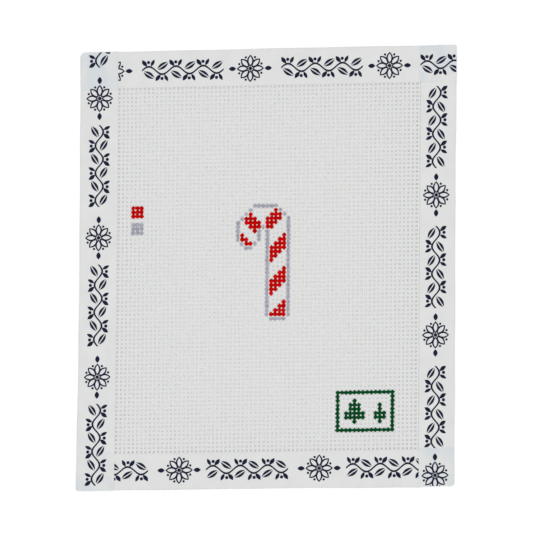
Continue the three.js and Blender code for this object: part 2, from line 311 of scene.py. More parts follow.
class Sums:
    """Writes sums as Math nodes. Each call adds one node and gives its output."""

    def __init__(self, tree):
        self.tree = tree

    def __call__(self, operation, *terms):
        node = self.tree.nodes.new("ShaderNodeMath")
        node.operation = operation
        for socket, term in zip(node.inputs, terms):
            if isinstance(term, bpy.types.NodeSocket):
                self.tree.links.new(term, socket)
            else:
                socket.default_value = term
        return node.outputs[0]


def feed(tree, socket, value):
    """Links a socket to an output, or sets it to a number or colour."""
    if isinstance(value, bpy.types.NodeSocket):
        tree.links.new(value, socket)
    else:
        socket.default_value = value


def node_group(name, inputs, outputs):
    """A new shader node group, its input node and its output node. inputs are (name, type,
    default), outputs (name, type)."""
    tree = bpy.data.node_groups.new(name, "ShaderNodeTree")
    for socket_name, kind, default in inputs:
        socket = tree.interface.new_socket(socket_name, in_out="INPUT", socket_type=kind)
        socket.default_value = default
    for socket_name, kind in outputs:
        tree.interface.new_socket(socket_name, in_out="OUTPUT", socket_type=kind)
    return tree, tree.nodes.new("NodeGroupInput").outputs, tree.nodes.new("NodeGroupOutput").inputs


def use_group(tree, group, **values):
    """Places a group in a tree, with its inputs fed by name, and gives its outputs."""
    node = tree.nodes.new("ShaderNodeGroup")
    node.node_tree = group
    for socket_name, value in values.items():
        feed(tree, node.inputs[socket_name], value)
    return node.outputs


def mixed_colour(tree, share, first, second):
    node = tree.nodes.new("ShaderNodeMix")
    node.data_type = "RGBA"
    inputs = [socket for socket in node.inputs if socket.enabled]
    for socket, value in zip(inputs, (share, first, second)):
        feed(tree, socket, value)
    return next(socket for socket in node.outputs if socket.enabled)


def noise(tree, vector, scale, detail):
    node = tree.nodes.new("ShaderNodeTexNoise")
    feed(tree, node.inputs["Vector"], vector)
    node.inputs["Scale"].default_value = scale
    node.inputs["Detail"].default_value = detail
    return node.outputs["Fac"]


def ramp(tree, value, start, end, interpolation="LINEAR"):
    """0 up to the start, 1 from the end on."""
    node = tree.nodes.new("ShaderNodeMapRange")
    node.interpolation_type = interpolation
    node.inputs["From Min"].default_value = start
    node.inputs["From Max"].default_value = end
    tree.links.new(value, node.inputs["Value"])
    return node.outputs["Result"]


def combined(tree, x, y, z=0.0):
    node = tree.nodes.new("ShaderNodeCombineXYZ")
    for socket, value in zip(node.inputs, (x, y, z)):
        feed(tree, socket, value)
    return node.outputs[0]


def separated(tree, vector):
    node = tree.nodes.new("ShaderNodeSeparateXYZ")
    tree.links.new(vector, node.inputs[0])
    return node.outputs


def uv_map(tree, name):
    node = tree.nodes.new("ShaderNodeUVMap")
    node.uv_map = name
    return node.outputs["UV"]


def attribute(tree, name):
    node = tree.nodes.new("ShaderNodeAttribute")
    node.attribute_name = name
    return node.outputs["Fac"]


def bumped(tree, height, distance, strength):
    node = tree.nodes.new("ShaderNodeBump")
    node.inputs["Strength"].default_value = strength
    node.inputs["Distance"].default_value = distance
    tree.links.new(height, node.inputs["Height"])
    return node.outputs["Normal"]


def new_material(name, specular):
    """A material, its tree and the inputs of its shader."""
    material = bpy.data.materials.new(name)
    material.use_nodes = True
    shader = material.node_tree.nodes["Principled BSDF"].inputs
    shader["Specular IOR Level"].default_value = specular
    return material, material.node_tree, shader


# ---- Thread and paint ---------------------------------------------------------------------------

YARN_MAP = "Yarn"  # u runs along the thread in millimetres, v counts threads and goes round each
COAT = "coat"  # how well paint covers a place: the paint ends where this falls to a half
FULL_COAT = 1.6
CREST_COAT = 0.4  # what the middle of a thread's upper side has more than its edges
CREST_PLACE = 7 / 12  # of that middle, on the way round the thread
CREST_HALF = 1 / 12
PAINT_EDGE = (0.44, 0.56)  # the coat at which paint begins to show and at which it covers
FIBRE_SHARE = 0.45  # of a thread's relief, and the plies have the rest
CLOUD_SHARE = 0.8  # of the thinness of paint, and the thread's shade has the rest
THINNED = {"white": 0.97, "grey": 1.58, "red": 2.05, "green": 1.9}  # shades of thin paint
TURNS_PER_MM = 0.9
PLIES = 3
FIBRE_STRETCH = (2.2, 9.0)  # along and round the thread
PATCH_STRETCH = 0.35
COTTON_SHADES = (0.96, 1.03)  # of the darkest and the lightest places
COTTON_UNEVENNESS = 0.5
PAINTED_UNEVENNESS = 0.3
COTTON_SPECULAR = 0.12
PAINT_SPECULAR = 0.02
COTTON_ROUGHNESS = 0.85
YARN_RELIEF = 0.04 * MM
COTTON_BUMP = 0.3
PAINTED_BUMP = 0.6

# Scale and detail of what is uneven: the fibres, the shade along a thread, thin paint and the
# coat, whose dabs and brush strokes have a strength too.
FIBRE_NOISE = (1.6, 3.0)
PATCH_NOISE = (1.0, 1.0)
CLOUD_NOISE = (1100.0, 1.0)
BRUSH_NOISES = (((2200.0, 2.0), 0.7), ((520.0, 1.0), 1.2))

# A factor, and what is added to the product.
# Painted shade: this makes the grooves between a thread's plies darker in colour.
PAINTED_GROOVE_SHADE = (0.6, 0.25)  # from a thread's relief to its shade
CLOUD_CONTRAST = (3.6, -1.3)
PAINT_ROUGHNESS = (-0.3, 0.9)  # from how well paint covers
FILLED_RELIEF = (-0.5, 1.0)  # from the same to how much of the thread's relief is left


def spun_yarn_group():
    """The plies and fibres of a twisted thread, as a height and a shade from 0 to 1: painted
    shade, darker in the grooves between the plies, with an uneven tone at random.
    """
    tree, given, result = node_group(
        "Spun yarn",
        [("Along", FLOAT, 0.0), ("Around", FLOAT, 0.0), ("Unevenness", FLOAT, 0.5)],
        [("Shade", FLOAT), ("Height", FLOAT)],
    )
    sums = Sums(tree)
    round_plies = sums("MULTIPLY", given["Around"], PLIES)
    turn = sums("MULTIPLY_ADD", given["Along"], TURNS_PER_MM, round_plies)
    ridge = sums("ABSOLUTE", sums("SINE", sums("MULTIPLY", turn, math.pi)))
    fibre_place = combined(tree, sums("MULTIPLY", given["Along"], FIBRE_STRETCH[0]),
                           sums("MULTIPLY", given["Around"], FIBRE_STRETCH[1]), turn)
    fibre = noise(tree, fibre_place, *FIBRE_NOISE)
    patch_place = combined(tree, sums("MULTIPLY", given["Along"], PATCH_STRETCH), given["Around"])
    patch = noise(tree, patch_place, *PATCH_NOISE)
    ply_height = sums("MULTIPLY", ridge, 1.0 - FIBRE_SHARE)
    height = sums("MULTIPLY_ADD", fibre, FIBRE_SHARE, ply_height)
    uneven = sums("MULTIPLY", sums("SUBTRACT", patch, 0.5), given["Unevenness"])
    shade = sums("ADD", sums("MULTIPLY_ADD", height, *PAINTED_GROOVE_SHADE), uneven)
    tree.links.new(shade, result["Shade"])
    tree.links.new(height, result["Height"])
    return tree


def brushed_paint_group():
    """Paint brushed on thread: it ends in an uneven line and lies thinner over the plies, where
    it follows the thread's Shade, painted shade of the grooves included.
    """
    tree, given, result = node_group(
        "Brushed paint",
        [("Paint", COLOUR, (0.5, 0.5, 0.5, 1.0)), ("Thin Paint", COLOUR, (0.5, 0.5, 0.5, 1.0)),
         ("Thread", COLOUR, (0.7, 0.7, 0.7, 1.0)), ("Coat", FLOAT, 1.0), ("Around", FLOAT, 0.0),
         ("Shade", FLOAT, 0.5), ("Height", FLOAT, 0.5)],
        [("Colour", COLOUR), ("Roughness", FLOAT), ("Height", FLOAT)],
    )
    sums = Sums(tree)
    place = tree.nodes.new("ShaderNodeTexCoord").outputs["Object"]
    from_crest = sums("SUBTRACT", sums("FRACT", given["Around"]), CREST_PLACE)
    from_crest = sums("MINIMUM", sums("DIVIDE", sums("ABSOLUTE", from_crest), CREST_HALF), 1.0)
    coat = sums("ADD", given["Coat"], sums("MULTIPLY_ADD", from_crest, -CREST_COAT, CREST_COAT))
    for brush_noise, strength in BRUSH_NOISES:
        uneven = sums("SUBTRACT", noise(tree, place, *brush_noise), 0.5)
        coat = sums("MULTIPLY_ADD", uneven, strength, coat)
    covered = ramp(tree, coat, *PAINT_EDGE, "SMOOTHSTEP")
    cloud = sums("MULTIPLY_ADD", noise(tree, place, *CLOUD_NOISE), *CLOUD_CONTRAST)
    cloud = sums("MINIMUM", sums("MAXIMUM", cloud, 0.0), 1.0)
    # Thin paint follows the thread's Shade, so it also carries the painted shade of the ply grooves:
    # lighter on the crests, darker in the grooves.
    thin = sums("MULTIPLY_ADD", given["Shade"], 1.0 - CLOUD_SHARE,
                sums("MULTIPLY", cloud, CLOUD_SHARE))
    paint = mixed_colour(tree, thin, given["Paint"], given["Thin Paint"])
    tree.links.new(mixed_colour(tree, covered, given["Thread"], paint), result["Colour"])
    tree.links.new(sums("MULTIPLY_ADD", covered, *PAINT_ROUGHNESS), result["Roughness"])
    relief_left = sums("MULTIPLY_ADD", covered, *FILLED_RELIEF)
    tree.links.new(sums("MULTIPLY", relief_left, given["Height"]), result["Height"])
    return tree


def yarn_shading(tree, yarn, unevenness):
    """The shade (painted shade of the ply grooves, with uneven tone), the height of the thread
    that a material covers, and the place round it.
    """
    along, around, _ = separated(tree, uv_map(tree, YARN_MAP))
    out = use_group(tree, yarn, Along=along, Around=around, Unevenness=unevenness)
    return out["Shade"], out["Height"], around


def shaded(colour, factor):
    return (*(channel * factor for channel in colour), 1.0)


def cotton_material(yarn, colour):
    material, tree, shader = new_material("sized cotton", COTTON_SPECULAR)
    shader["Roughness"].default_value = COTTON_ROUGHNESS
    shade, height, _ = yarn_shading(tree, yarn, COTTON_UNEVENNESS)
    # Painted shade: the cotton is coloured darker in the grooves between the plies, within
    # COTTON_SHADES.
    tint = mixed_colour(tree, shade, *(shaded(colour, factor) for factor in COTTON_SHADES))
    tree.links.new(tint, shader["Base Color"])
    tree.links.new(bumped(tree, height, YARN_RELIEF, COTTON_BUMP), shader["Normal"])
    return material


def paint_material(name, yarn, brushed, colour, thin_colour, cotton):
    material, tree, shader = new_material(name, PAINT_SPECULAR)
    shade, height, around = yarn_shading(tree, yarn, PAINTED_UNEVENNESS)
    out = use_group(tree, brushed, Coat=attribute(tree, COAT), Around=around, Shade=shade,
                    Height=height, Paint=(*colour, 1.0), Thread=(*cotton, 1.0),
                    **{"Thin Paint": thin_colour})
    tree.links.new(out["Colour"], shader["Base Color"])
    tree.links.new(out["Roughness"], shader["Roughness"])
    tree.links.new(bumped(tree, out["Height"], YARN_RELIEF, PAINTED_BUMP), shader["Normal"])
    return material


# ---- Meshes -------------------------------------------------------------------------------------

def quad_mesh(name, points, quads, materials):
    """A new object of four-sided faces."""
    mesh = bpy.data.meshes.new(name)
    mesh.vertices.add(len(points))
    mesh.vertices.foreach_set("co", np.asarray(points, np.float32).ravel())
    mesh.loops.add(quads.size)
    mesh.loops.foreach_set("vertex_index", quads.astype(np.int32).ravel())
    mesh.polygons.add(len(quads))
    mesh.polygons.foreach_set("loop_start", np.arange(0, quads.size, 4, dtype=np.int32))
    mesh.update(calc_edges=True)
    for material in materials:
        mesh.materials.append(material)
    piece = bpy.data.objects.new(name, mesh)
    bpy.context.scene.collection.objects.link(piece)
    return piece


def set_smooth(piece, smooth_faces, sharp_edges=False):
    """Smooths the given faces, but not over the sharp edges or the edges of flat faces."""
    mesh = piece.data
    mesh.polygons.foreach_set("use_smooth", smooth_faces)
    edges = np.empty(len(mesh.loops), np.int32)
    mesh.loops.foreach_get("edge_index", edges)
    sharp = np.zeros(len(mesh.edges), bool) | sharp_edges
    sharp[edges.reshape(-1, 4)[~smooth_faces]] = True
    mesh.attributes.new("sharp_edge", "BOOLEAN", "EDGE").data.foreach_set("value", sharp)


def add_uv(piece, name, corners):
    """corners has one pair for each corner of each face."""
    layer = piece.data.uv_layers.new(name=name, do_init=False)
    layer.uv.foreach_set("vector", np.asarray(corners, np.float32).ravel())


def add_point_values(piece, name, values):
    layer = piece.data.attributes.new(name, "FLOAT", "POINT")
    layer.data.foreach_set("value", np.asarray(values, np.float32).ravel())


def keep_piece(piece, nodes):
    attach(piece, BODY)
    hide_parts(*nodes)


# ---- Canvas -------------------------------------------------------------------------------------

SIDES = 6
SECTION = np.array([  # across and height of a thread's section, from its middle
    (-0.26, -0.5), (0.26, -0.5), (0.5, 0.0), (0.26, 0.5), (-0.26, 0.5), (-0.5, 0.0),
])
COAT_LOSS = np.array([2.0, 2.0, 0.95, 0.4, 0.4, 0.95])  # the paint thins round the section
SWELL = {BARE: 0.0, WHITE: 0.9, GREY: 0.2, RED: 1.08, GREEN: 0.42}  # with its coats of paint
SWELL_BETWEEN = 0.45  # of a stitch's swelling, in the middle between it and the next
SWELL_FLATNESS = 3  # how much more paint widens a thread than it thickens it
UPPER_SIDES = (2, 3, 4)  # from the first of two neighbours in SECTION
RIMS = (2, 5)  # the two sharp edges of a section
FLATTENED = 0.3  # what a crossing leaves of the half of a thread that faces the other one
NECK_COAT = 1.56  # half-way between two stitches
CROSSING_HALF = 0.25  # of the level stretch at a crossing, in pitches
PAINT_END = 0.7  # from a stitch to where none of its paint is left, in pitches
PANELS = 3  # the canvas is woven in this many pieces, side by side
PANEL_NAMES = ("canvas_left", "canvas_middle", "canvas_right")
THREAD_SEED = 18
WIDTH_SPREAD = 0.03  # of the threads' widths
BAKE_MAP = "OFBake"
# Where each kind of face lies on the bake map, as its left and right edge: faces seen from
# above, faces seen from below, and those that a crossing hides above and below.
BAKE_COLUMNS = np.array([(0.0, 0.42), (0.42, 0.84), (0.84, 0.92), (0.92, 1.0)])
SEEN_ABOVE, SEEN_BELOW, HIDDEN_ABOVE, HIDDEN_BELOW = range(4)
BAKE_MARGIN = 0.003


class Thread:
    """One thread: its stations from end to end, and what lies between each two of them. swell
    is the share of the paint's swelling that a station has."""

    def __init__(self, index, middle, width):
        self.index = index
        self.middle = middle
        self.width = width
        self.along, self.lift, self.coat, self.swell = [], [], [], []
        self.paint, self.level, self.cuts = [], [], []

    def add_station(self, along, lift, coat, swell=0.0, paint=None, level=0):
        """paint and level describe the stretch that ends here."""
        if self.along:
            self.paint.append(paint)
            self.level.append(level)
        self.along.append(along)
        self.lift.append(lift)
        self.coat.append(coat)
        self.swell.append(swell)


def threads_across(sheet, span, direction, width):
    """The whole numbers of the threads that fit between two cut edges."""
    half = (span / 2 - CANVAS_INSET - width / 2) / sheet.pitch / SPREAD[direction]
    first = math.ceil(-half - THREAD_OFFSET[direction])
    last = math.floor(half - THREAD_OFFSET[direction])
    return range(first, last + 1)


def woven_thread(sheet, thread, half_length, crossings, wave, end_coat):
    """Takes a thread over and under. crossings are (place, 1 above or -1 below, paint, cut)."""
    flat = CROSSING_HALF * sheet.pitch
    _, first_up, _, _ = crossings[0]
    thread.add_station(-half_length, first_up * wave, 0.0)
    before = BARE
    for i, (place, up, paint, cut) in enumerate(crossings):
        if i and paint != before:
            share = 1 - PAINT_END if paint > before else PAINT_END
            lift = up * wave * (2 * share - 1) / (1 - 2 * CROSSING_HALF)
            thread.add_station(place - (1 - share) * sheet.pitch, lift, end_coat, 0.0, before)
        elif i and paint != BARE:
            between = SWELL_BETWEEN * SWELL[paint]
            thread.add_station(place - sheet.pitch / 2, 0.0, NECK_COAT, between, paint)
        coat, swell = FULL_COAT * (paint != BARE), SWELL[paint]
        thread.add_station(place - flat, up * wave, coat, swell, paint)
        if cut:
            thread.cuts.append(len(thread.along))
            thread.add_station(place, up * wave, coat, swell, paint, up)
        thread.add_station(place + flat, up * wave, coat, swell, paint, up)
        before = paint
    thread.add_station(half_length, up * wave, 0.0, 0.0, BARE)
    return thread


def weave(sheet, canvas, reach):
    """All threads of both directions, with the weft cut where one panel ends and the next
    begins, each time under a warp thread."""
    rng = np.random.default_rng(THREAD_SEED)
    columns = threads_across(sheet, sheet.width, "warp", canvas.thread_width)
    rows = threads_across(sheet, sheet.height, "weft", canvas.thread_width)
    paints = {(column, row): paint_at(column, row) for column in columns for row in rows}
    place = {
        "warp": {column: sheet.thread_place("warp", column) for column in columns},
        "weft": {row: sheet.thread_place("weft", row) for row in rows},
    }
    wave = FLATTENED * canvas.thread_thickness / 2
    # The coat falls to a half at the paint's reach.
    end_coat = FULL_COAT - (FULL_COAT - 0.5) * (PAINT_END - CROSSING_HALF) / (reach - CROSSING_HALF)
    panel_width = len(columns) / PANELS
    cut_columns = [columns[0] + round(panel_width * i) for i in range(1, PANELS)]

    def new_thread(index, middle):
        middle += rng.normal(0.0, canvas.unevenness)
        return Thread(index, middle, canvas.thread_width * (1.0 + rng.normal(0.0, WIDTH_SPREAD)))

    warp = []
    for column in columns:
        crossings = [(place["weft"][row], 1 if (column + row) % 2 else -1, paints[column, row],
                      False) for row in rows]
        thread = new_thread(column, place["warp"][column])
        half_height = sheet.height / 2 - CANVAS_INSET
        warp.append(woven_thread(sheet, thread, half_height, crossings, wave, end_coat))
    weft = []
    for row in rows:
        cuts = [cut if (cut + row) % 2 else cut + 1 for cut in cut_columns]
        crossings = [(place["warp"][column], -1 if (column + row) % 2 else 1,
                      paints[column, row], column in cuts) for column in columns]
        thread = new_thread(row, place["weft"][row])
        half_width = sheet.width / 2 - CANVAS_INSET
        weft.append(woven_thread(sheet, thread, half_width, crossings, wave, end_coat))
    return warp, weft, cut_columns


def tube_quads(rings):
    """The faces round a thread with this many rings of points, and those of its two cut ends."""
    ring = (np.arange(rings - 1) * SIDES)[:, None]
    side = np.arange(SIDES)
    after = (side + 1) % SIDES
    sides = np.stack([ring + side, ring + after, ring + SIDES + after, ring + SIDES + side], -1)
    near_end = np.array([(3, 2, 1, 0), (5, 4, 3, 0)])
    far_end = near_end[:, ::-1] + (rings - 1) * SIDES
    return sides.reshape(-1, 4), np.concatenate([near_end, far_end])


def tube_yarn(along, index):
    """The yarn map of the faces round a thread, from its rings' places in millimetres."""
    u = np.stack([along[:-1], along[:-1], along[1:], along[1:]], -1).repeat(SIDES, 0)
    side = np.arange(SIDES)
    turn = np.stack([side, side + 1, side + 1, side], -1) / SIDES
    return np.stack([u, index + np.tile(turn, (len(along) - 1, 1))], -1)


class Panel:
    """Gathers stretches of thread into one mesh."""

    def __init__(self, sheet, canvas, paint_swell):
        self.sheet = sheet
        self.thickness = canvas.thread_thickness
        self.wave = FLATTENED * canvas.thread_thickness / 2
        self.paint_swell = paint_swell
        self.count = 0
        self.points, self.coats, self.quads, self.paints = [], [], [], []
        self.yarn, self.areas, self.flat_places, self.rounds = [], [], [], []

    def add(self, thread, first, last, is_warp):
        """Adds a thread between two of its stations."""
        rings = last - first + 1
        along, coat, lift, swell = (
            np.array(values[first:last + 1])[:, None]
            for values in (thread.along, thread.coat, thread.lift, thread.swell)
        )
        swell = swell * self.paint_swell
        reach = thread.middle + SECTION[:, 0] * (thread.width + swell)
        along, reach = np.broadcast_arrays(along, reach)
        across, up = (reach, along) if is_warp else (along, reach)
        middle_height = (self.sheet.canvas_bottom + self.sheet.canvas_top) / 2
        pressed = np.clip(-np.sign(SECTION[:, 1]) * lift / self.wave, 0.0, 1.0)
        section = SECTION[:, 1] * (1.0 - (1.0 - FLATTENED) * pressed)
        height = middle_height + lift + section * (self.thickness + swell / SWELL_FLATNESS)
        points = self.sheet.laid(across, up, height - self.sheet.sag(across, up))
        self.points.append(points.reshape(-1, 3))
        self.coats.append((coat - COAT_LOSS).ravel())

        sides, caps = tube_quads(rings)
        quads = np.concatenate([sides, caps])
        level = np.repeat(np.array(thread.level[first:last]), SIDES)
        upper = np.tile(np.isin(np.arange(SIDES), UPPER_SIDES), rings - 1)
        area = np.where(upper, SEEN_ABOVE, SEEN_BELOW)
        area = np.where(upper & (level < 0), HIDDEN_ABOVE, area)
        area = np.where(~upper & (level > 0), HIDDEN_BELOW, area)
        paint = np.repeat(np.array(thread.paint[first:last]), SIDES)
        yarn = np.concatenate([tube_yarn(along[:, 0] / MM, thread.index),
                               np.full((len(caps), 4, 2), float(thread.index))])
        if is_warp:
            quads, yarn = quads[:, ::-1], yarn[:, ::-1]
        self.quads.append(quads + self.count)
        self.paints.append(np.append(paint, np.full(len(caps), BARE)))
        self.areas.append(np.append(area, np.full(len(caps), HIDDEN_BELOW)))
        self.yarn.append(yarn)
        self.flat_places.append(np.stack([across.ravel(), up.ravel()], -1)[quads])
        self.rounds.append(np.arange(len(quads)) < len(sides))
        self.count += rings * SIDES

    def bake_places(self):
        """Each corner's place on the bake map, which holds the panel once for each kind."""
        places = np.concatenate(self.flat_places)
        low, high = places.min((0, 1)), places.max((0, 1))
        share = (places - low) / (high - low)
        columns = BAKE_COLUMNS[np.concatenate(self.areas)][:, None]
        start, end = columns[..., 0] + BAKE_MARGIN, columns[..., 1] - BAKE_MARGIN
        u = start + share[..., 0] * (end - start)
        return np.stack([u, BAKE_MARGIN + share[..., 1] * (1 - 2 * BAKE_MARGIN)], -1)

    def made(self, name, materials):
        piece = quad_mesh(name, np.concatenate(self.points), np.concatenate(self.quads), materials)
        mesh = piece.data
        mesh.polygons.foreach_set("material_index", np.concatenate(self.paints).astype(np.int32))
        ends = np.empty(2 * len(mesh.edges), np.int32)
        mesh.edges.foreach_get("vertices", ends)
        ends = ends.reshape(-1, 2) % SIDES
        rims = (ends[:, 0] == ends[:, 1]) & np.isin(ends[:, 0], RIMS)
        set_smooth(piece, np.concatenate(self.rounds), rims)
        add_uv(piece, YARN_MAP, np.concatenate(self.yarn))
        add_uv(piece, BAKE_MAP, self.bake_places())
        add_point_values(piece, COAT, np.concatenate(self.coats))
        return piece


def weave_panels(sheet, canvas, reach, swell, materials):
    warp, weft, cut_columns = weave(sheet, canvas, reach)
    panels = [Panel(sheet, canvas, swell) for _ in range(PANELS)]
    for thread in warp:
        panel = panels[sum(thread.index >= cut for cut in cut_columns)]
        panel.add(thread, 0, len(thread.along) - 1, True)
    for thread in weft:
        stops = [0, *thread.cuts, len(thread.along) - 1]
        for panel, first, last in zip(panels, stops, stops[1:]):
            panel.add(thread, first, last, False)
    return [panel.made(name, materials) for panel, name in zip(panels, PANEL_NAMES)]


# ---- Tape ---------------------------------------------------------------------------------------

STRIP_MAP = "Strip"  # in millimetres: u along the strip, v from its fold, negative behind
LAYERS = "layers"  # how many layers of tape lie under a place
FLAP_STEP = 0.9 * MM
ALONG_STEP = 0.8 * MM
CORNER_REACH = 1.8 * MM  # of the finer steps near the corners and the fold
CORNER_STEPS = 8
FOLD_SIDE_STEPS = 4
STEP_STATIONS = 5  # where a strip comes down from the edge of the strip under it
LEAST_SPACING = 0.02 * MM
FOLD_STEPS = 6  # to a quarter turn
BAKE_ROWS = 3  # a strip lies on its bake map in this many rows
RIM_WIDTH = 0.3 * MM  # of the worn edge of a strip, and how far it falls away
RIM_DROP = 0.07 * MM
BAKE_OUTSIDE = 0.9  # the share of the map that the printed face takes
BAKE_ROW_MARGIN = 0.01
STRIPS = {  # what each strip crosses at its start and its end, in the order of laying
    "bottom": (None, None),
    "right": ("bottom", None),
    "top": ("right", None),
    "left": ("top", "bottom"),
}
PRINT_START = {"bottom": 21.0, "right": 5.0, "top": 33.0, "left": 40.0}  # of the repeat, in mm
WRINKLE = 0.05 * MM
EDGE_DRIFT = 0.1 * MM  # of a strip's inner edge
DRIFT_WAVES = (0.13, 0.07)  # in radians a millimetre


def ripples(across, up):
    """A slow uneven wave over the sheet, from 0 to 1."""
    a, b = across / MM, up / MM
    slow = np.sin(a * 0.31 + 1.3 * np.sin(b * 0.17)) + np.sin(b * 0.27 + 1.1 * np.sin(a * 0.23) + 2.0)
    return 0.5 + 0.125 * (slow + np.sin(a * 0.83 + b * 0.11) + np.sin(b * 0.71 - a * 0.13))


def shell_quads(rows, columns):
    """The faces of two grids of points, the outer grid's first, and the rims between them."""
    count = rows * columns
    row, column = np.meshgrid(np.arange(rows - 1), np.arange(columns - 1), indexing="ij")
    corner = (row * columns + column).ravel()
    outer = np.stack([corner, corner + 1, corner + columns + 1, corner + columns], -1)
    inner = outer[:, ::-1] + count
    front = np.arange(rows - 1) * columns
    front_rim = np.stack([front, front + columns, front + columns + count, front + count], -1)
    back = front + columns - 1
    back_rim = np.stack([back, back + count, back + columns + count, back + columns], -1)
    start = np.arange(columns - 1)
    start_rim = np.stack([start, start + count, start + count + 1, start + 1], -1)
    end = start + (rows - 1) * columns
    end_rim = np.stack([end, end + 1, end + count + 1, end + count], -1)
    return np.concatenate([outer, inner]), np.concatenate([front_rim, back_rim, start_rim, end_rim])


class Strip:
    """One strip of tape, folded over one edge of the sheet."""

    def __init__(self, sheet, tape, side):
        self.sheet, self.tape, self.side = sheet, tape, side
        self.length = sheet.width if side in ("bottom", "top") else sheet.height
        self.front_width = FRONT_WIDTH[side]
        self.crossed = [FRONT_WIDTH[other] if other else 0.0 for other in STRIPS[side]]
        self.crossed_behind = [self.back_width(other) if other else 0.0 for other in STRIPS[side]]

    def back_width(self, side):
        """The width of a strip's flap behind the canvas."""
        wall = self.sheet.canvas_top - self.sheet.canvas_bottom + 2 * self.sheet.layer
        fold = math.pi * FOLD_RADIUS + wall - 2 * FOLD_RADIUS
        return self.tape.width - fold - FRONT_WIDTH[side] + 2 * FOLD_RADIUS

    def placed(self, along, inward):
        """A place of the strip on the sheet, across and up."""
        half_width, half_height = self.sheet.width / 2, self.sheet.height / 2
        return {
            "bottom": (along - half_width, inward - half_height),
            "right": (half_width - inward, along - half_height),
            "top": (half_width - along, half_height - inward),
            "left": (inward - half_width, half_height - along),
        }[self.side]

    def stations(self):
        ends = [0.0 if other else FOLD_RADIUS + GLUE for other in STRIPS[self.side]]
        steps = []
        for crossed in (self.crossed, self.crossed_behind):
            for end, width in enumerate(crossed):
                if width:
                    rise = width + STEP_MARGIN + STEP_RUN * np.linspace(0, 1, STEP_STATIONS)
                    steps.append(self.length - rise if end else rise)
        near = ends[0] + (CORNER_REACH - ends[0]) * np.linspace(0, 1, CORNER_STEPS)
        far = self.length - ends[1] - (CORNER_REACH - ends[1]) * np.linspace(0, 1, CORNER_STEPS)
        count = int((self.length - 2 * CORNER_REACH) / ALONG_STEP)
        middle = np.linspace(CORNER_REACH, self.length - CORNER_REACH, count)
        places = np.sort(np.concatenate([near, far, middle, *steps]))
        return places[np.concatenate([[True], np.diff(places) > LEAST_SPACING])]

    def layers(self, along, crossed):
        """How many layers lie under the strip at a distance from its start."""
        total = 0.0
        for width, distance in zip(crossed, (along, self.length - along)):
            if width:
                total = total + 1.0 - smooth((distance - width - STEP_MARGIN) / STEP_RUN)
        return total + 0.0 * along

    def section(self):
        """From the edge on the painted side round the fold to the edge behind: how far in each
        point lies, which of the two flaps it belongs to (1 in front, -1 behind) and which way
        it faces."""
        flap = np.linspace(FOLD_RADIUS, CORNER_REACH, FOLD_SIDE_STEPS + 1)[1:]
        front, back = (
            np.append(np.linspace(CORNER_REACH, width - RIM_WIDTH,
                                  round((width - CORNER_REACH) / FLAP_STEP))[1:], width)
            for width in (self.front_width, self.back_width(self.side))
        )
        turn = np.linspace(0, math.pi / 2, FOLD_STEPS + 1)
        turned = np.concatenate([turn, turn + math.pi / 2])
        facing = np.stack([-np.sin(turned), np.cos(turned)], -1)
        before, behind = len(front) + len(flap), len(back) + len(flap)
        inward = np.concatenate([front[::-1], flap[::-1], FOLD_RADIUS * (1 + facing[:, 0]), flap, back])
        facing = np.concatenate([np.tile((0.0, 1.0), (before, 1)), facing,
                                 np.tile((0.0, -1.0), (behind, 1))])
        flap_of = np.concatenate([np.ones(before + FOLD_STEPS + 1), -np.ones(behind + FOLD_STEPS + 1)])
        return inward, flap_of, facing

    def grids(self):
        """The outer and inner face as grids of points, with each point's distance along, its
        distance from the fold and the layers under it."""
        sheet, thickness = self.sheet, self.tape.thickness
        inward, flap_of, facing = self.section()
        along = self.stations()[:, None]
        top = sheet.canvas_top + GLUE + self.layers(along, self.crossed) * sheet.layer + thickness
        bottom = (sheet.canvas_bottom - GLUE - thickness
                  - self.layers(along, self.crossed_behind) * sheet.layer)
        level = np.where(flap_of > 0, top - FOLD_RADIUS, bottom + FOLD_RADIUS)
        height = level + FOLD_RADIUS * facing[:, 1]
        quick, slow = (along / MM * wave for wave in DRIFT_WAVES)
        drift = EDGE_DRIFT * np.sin(quick + self.length) * np.sin(slow)
        shifted = inward + drift * (1 - inward / self.front_width)
        across, up = self.placed(along, shifted)
        height = height - flap_of * sheet.pinch(across, up)
        height = height + (flap_of > 0) * sheet.wrinkle(across, up)
        rim = np.zeros(len(inward))
        rim[[0, -1]] = RIM_DROP, -RIM_DROP
        outer = sheet.laid(across, up, height - rim)
        within = self.placed(along, shifted - thickness * facing[:, 0])
        inner = sheet.laid(*within, height - thickness * facing[:, 1])
        run = np.hypot(np.diff(inward), np.diff(height[len(height) // 2]))
        turning = np.abs(np.diff(facing, axis=0)).sum(1) > 0
        run[turning] = FOLD_RADIUS * math.pi / 2 / FOLD_STEPS
        from_edge = np.concatenate([[0.0], np.cumsum(run)])
        from_fold = np.interp(self.front_width - FOLD_RADIUS, from_edge, from_edge) - from_edge
        layers = np.where(flap_of > 0, self.layers(along, self.crossed),
                          self.layers(along, self.crossed_behind))
        return outer, inner, along[:, 0], from_fold, layers

    def made(self, name, material):
        outer, inner, along, from_fold, layers = self.grids()
        rows, columns = outer.shape[:2]
        faces, rims = shell_quads(rows, columns)
        quads = np.concatenate([faces, rims])
        points = np.concatenate([outer.reshape(-1, 3), inner.reshape(-1, 3)])
        piece = quad_mesh(name, points, quads, [material])
        set_smooth(piece, np.arange(len(quads)) < len(faces))

        u = np.repeat(along, columns) / MM + PRINT_START[self.side]
        v = np.tile(from_fold, rows) / MM
        strip = np.stack([u, v], -1)
        # The inner face is mapped on the bare line along the fold.
        strip = np.concatenate([strip, strip * (1.0, 0.0)])[quads]
        add_uv(piece, STRIP_MAP, strip)
        add_uv(piece, BAKE_MAP, self.bake_places(along, from_fold, quads, len(faces) // 2))
        add_point_values(piece, LAYERS, np.tile(layers.ravel(), 2))
        return piece

